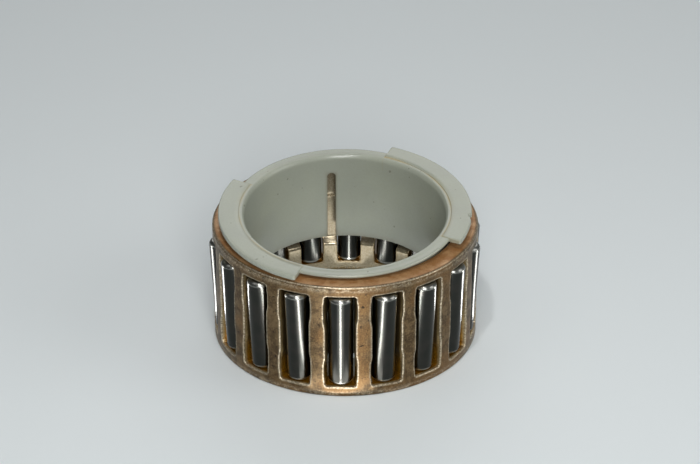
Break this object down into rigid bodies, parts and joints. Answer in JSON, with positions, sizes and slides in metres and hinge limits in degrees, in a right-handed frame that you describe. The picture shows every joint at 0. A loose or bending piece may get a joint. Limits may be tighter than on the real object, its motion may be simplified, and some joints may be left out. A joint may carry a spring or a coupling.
{
  "type": "needle roller bearing",
  "caption": "Cage-and-roller needle bearing: a one-piece pocketed cage, steel rollers and a slotted two-lobed plastic sleeve that keeps them in until a shaft is fitted.",
  "frame": {"origin": "on the bearing's axis at the cage's lower end face", "axes": "+Z along the bearing's axis towards the sleeve's lobes; -Y towards the first roller"},
  "size_m": [0.0602, 0.061, 0.033],
  "materials": {
    "cage_bronze": "worn, mottled, lightly oiled",
    "roller_steel": "ground and polished",
    "sleeve_nylon": "satin moulded"
  },
  "bodies": {
    "cage": {"cage": "cage_bronze"},
    "retaining_sleeve": {"retaining_sleeve": "sleeve_nylon"},
    "roller_01": {"roller_01": "roller_steel"},
    "roller_02": {"roller_02": "roller_steel"},
    "roller_03": {"roller_03": "roller_steel"},
    "roller_04": {"roller_04": "roller_steel"},
    "roller_05": {"roller_05": "roller_steel"},
    "roller_06": {"roller_06": "roller_steel"},
    "roller_07": {"roller_07": "roller_steel"},
    "roller_08": {"roller_08": "roller_steel"},
    "roller_09": {"roller_09": "roller_steel"},
    "roller_10": {"roller_10": "roller_steel"},
    "roller_11": {"roller_11": "roller_steel"},
    "roller_12": {"roller_12": "roller_steel"},
    "roller_13": {"roller_13": "roller_steel"},
    "roller_14": {"roller_14": "roller_steel"},
    "roller_15": {"roller_15": "roller_steel"},
    "roller_16": {"roller_16": "roller_steel"},
    "roller_17": {"roller_17": "roller_steel"},
    "roller_18": {"roller_18": "roller_steel"}
  },
  "joints": [
    {"name": "roller_01_spin", "type": "hinge", "parent": "cage", "child": "roller_01", "pos_m": [0, -0.02725, 0.0138], "axis": [0, -0.0523, 0.9986], "continuous": true},
    {"name": "roller_02_spin", "type": "hinge", "parent": "cage", "child": "roller_02", "pos_m": [0.00932, -0.02561, 0.0138], "axis": [0.0179, -0.0492, 0.9986], "continuous": true},
    {"name": "roller_03_spin", "type": "hinge", "parent": "cage", "child": "roller_03", "pos_m": [0.01752, -0.02087, 0.0138], "axis": [0.0336, -0.0401, 0.9986], "continuous": true},
    {"name": "roller_04_spin", "type": "hinge", "parent": "cage", "child": "roller_04", "pos_m": [0.0236, -0.01362, 0.0138], "axis": [0.0453, -0.0262, 0.9986], "continuous": true},
    {"name": "roller_05_spin", "type": "hinge", "parent": "cage", "child": "roller_05", "pos_m": [0.02684, -0.00473, 0.0138], "axis": [0.0515, -0.0091, 0.9986], "continuous": true},
    {"name": "roller_06_spin", "type": "hinge", "parent": "cage", "child": "roller_06", "pos_m": [0.02684, 0.00473, 0.0138], "axis": [0.0515, 0.0091, 0.9986], "continuous": true},
    {"name": "roller_07_spin", "type": "hinge", "parent": "cage", "child": "roller_07", "pos_m": [0.0236, 0.01362, 0.0138], "axis": [0.0453, 0.0262, 0.9986], "continuous": true},
    {"name": "roller_08_spin", "type": "hinge", "parent": "cage", "child": "roller_08", "pos_m": [0.01752, 0.02087, 0.0138], "axis": [0.0336, 0.0401, 0.9986], "continuous": true},
    {"name": "roller_09_spin", "type": "hinge", "parent": "cage", "child": "roller_09", "pos_m": [0.00932, 0.02561, 0.0138], "axis": [0.0179, 0.0492, 0.9986], "continuous": true},
    {"name": "roller_10_spin", "type": "hinge", "parent": "cage", "child": "roller_10", "pos_m": [0, 0.02725, 0.0138], "axis": [0, 0.0523, 0.9986], "continuous": true},
    {"name": "roller_11_spin", "type": "hinge", "parent": "cage", "child": "roller_11", "pos_m": [-0.00932, 0.02561, 0.0138], "axis": [-0.0179, 0.0492, 0.9986], "continuous": true},
    {"name": "roller_12_spin", "type": "hinge", "parent": "cage", "child": "roller_12", "pos_m": [-0.01752, 0.02087, 0.0138], "axis": [-0.0336, 0.0401, 0.9986], "continuous": true},
    {"name": "roller_13_spin", "type": "hinge", "parent": "cage", "child": "roller_13", "pos_m": [-0.0236, 0.01362, 0.0138], "axis": [-0.0453, 0.0262, 0.9986], "continuous": true},
    {"name": "roller_14_spin", "type": "hinge", "parent": "cage", "child": "roller_14", "pos_m": [-0.02684, 0.00473, 0.0138], "axis": [-0.0515, 0.0091, 0.9986], "continuous": true},
    {"name": "roller_15_spin", "type": "hinge", "parent": "cage", "child": "roller_15", "pos_m": [-0.02684, -0.00473, 0.0138], "axis": [-0.0515, -0.0091, 0.9986], "continuous": true},
    {"name": "roller_16_spin", "type": "hinge", "parent": "cage", "child": "roller_16", "pos_m": [-0.0236, -0.01362, 0.0138], "axis": [-0.0453, -0.0262, 0.9986], "continuous": true},
    {"name": "roller_17_spin", "type": "hinge", "parent": "cage", "child": "roller_17", "pos_m": [-0.01752, -0.02087, 0.0138], "axis": [-0.0336, -0.0401, 0.9986], "continuous": true},
    {"name": "roller_18_spin", "type": "hinge", "parent": "cage", "child": "roller_18", "pos_m": [-0.00932, -0.02561, 0.0138], "axis": [-0.0179, -0.0492, 0.9986], "continuous": true},
    {"name": "sleeve_slide", "type": "slide", "parent": "cage", "child": "retaining_sleeve", "axis": [0, -0.0767, 0.9971], "range_m": [0, 0.024]}
  ]
}
